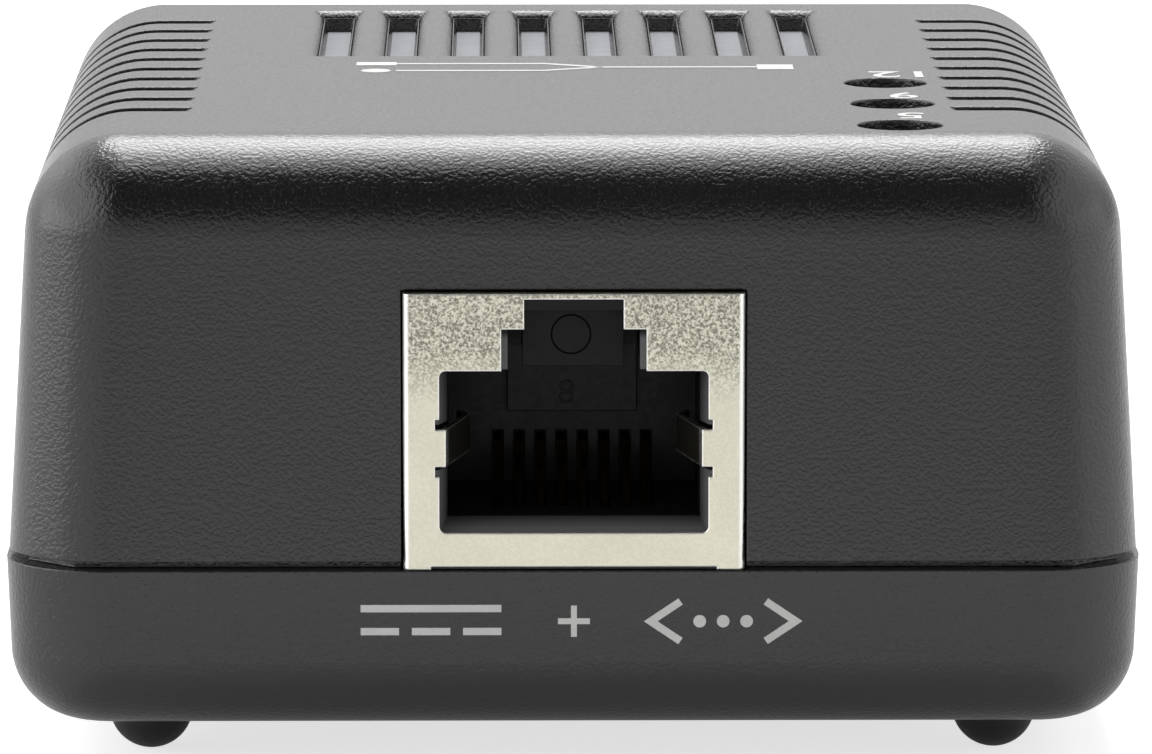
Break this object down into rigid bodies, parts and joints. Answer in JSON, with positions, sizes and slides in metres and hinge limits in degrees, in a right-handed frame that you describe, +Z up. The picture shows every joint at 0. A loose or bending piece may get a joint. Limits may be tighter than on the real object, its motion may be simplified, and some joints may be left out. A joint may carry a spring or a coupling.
{
  "type": "poe splitter",
  "caption": "Small ventilated plastic case with a shielded network socket at the front, and a network socket, a direct-current socket and a voltage selector at the back.",
  "frame": {"origin": "on the floor, under the middle of the case's plan, at the level of the feet's flats", "axes": "+X to the right seen from the input socket, +Y from the input socket's side to the output sockets' side, +Z up"},
  "size_m": [0.0536, 0.0652, 0.03],
  "materials": {
    "case": "fine moulded texture, dark grey",
    "liner": "smooth, pale grey",
    "feet": "satin, black",
    "screws": "zinc plated",
    "shield": "nickel plated, faintly brushed",
    "jack_plastic": "moulded, black",
    "contacts": "gold plated",
    "bright_metal": "nickel plated",
    "tinned_metal": "tinned",
    "selector_plastic": "pressed board, brown",
    "lens": "clear epoxy, unlit",
    "ferrite": "sintered, dark grey",
    "chip_plastic": "moulded epoxy, black",
    "chip_ceramic": "fired, tan",
    "winding_tape": "polyester tape, yellow",
    "capacitor_sleeve": "shrink sleeve, near black",
    "film_box": "moulded, red",
    "board": "solder mask, green"
  },
  "bodies": {
    "housing": {"top_shell": "case", "bottom_shell": "case", "vent_liner": "liner", "foot_front_left": "feet", "foot_front_right": "feet", "foot_rear_left": "feet", "foot_rear_right": "feet", "case_screws": "screws", "input_jack_shield": "shield", "input_jack_housing": "jack_plastic", "input_jack_contacts": "contacts", "output_jack_shield": "shield", "output_jack_housing": "jack_plastic", "output_jack_contacts": "contacts", "power_jack_housing": "jack_plastic", "power_jack_pin": "bright_metal", "power_jack_spring": "bright_metal", "power_jack_terminals": "tinned_metal", "selector_frame": "bright_metal", "selector_base": "selector_plastic", "selector_terminals": "tinned_metal", "lamp_lens_1": "lens", "lamp_lens_2": "lens", "lamp_lens_3": "lens", "lamp_leads": "tinned_metal", "lamp_spacers": "jack_plastic", "transformer_core_front": "ferrite", "transformer_core_rear": "ferrite", "transformer_bobbin": "chip_plastic", "transformer_winding": "winding_tape", "transformer_pins": "tinned_metal", "line_magnetics": "chip_plastic", "line_magnetics_leads": "tinned_metal", "controller_chip": "chip_plastic", "controller_leads": "tinned_metal", "optocoupler": "chip_plastic", "optocoupler_leads": "tinned_metal", "bridge_rectifiers": "chip_plastic", "bridge_rectifier_leads": "tinned_metal", "switching_transistor": "chip_plastic", "switching_transistor_tab": "tinned_metal", "output_diode": "chip_plastic", "output_diode_clips": "tinned_metal", "input_capacitor": "capacitor_sleeve", "output_capacitor": "capacitor_sleeve", "film_capacitor": "film_box", "capacitor_leads": "tinned_metal", "output_inductor": "ferrite", "output_inductor_clips": "tinned_metal", "chip_parts": "chip_ceramic", "circuit_board": "board"},
    "selector": {"selector_knob": "jack_plastic", "selector_contact": "contacts"}
  },
  "joints": [
    {"name": "selector_slide", "type": "slide", "parent": "housing", "child": "selector", "axis": [1, 0, 0], "range_m": [-0.002, 0.002]}
  ]
}
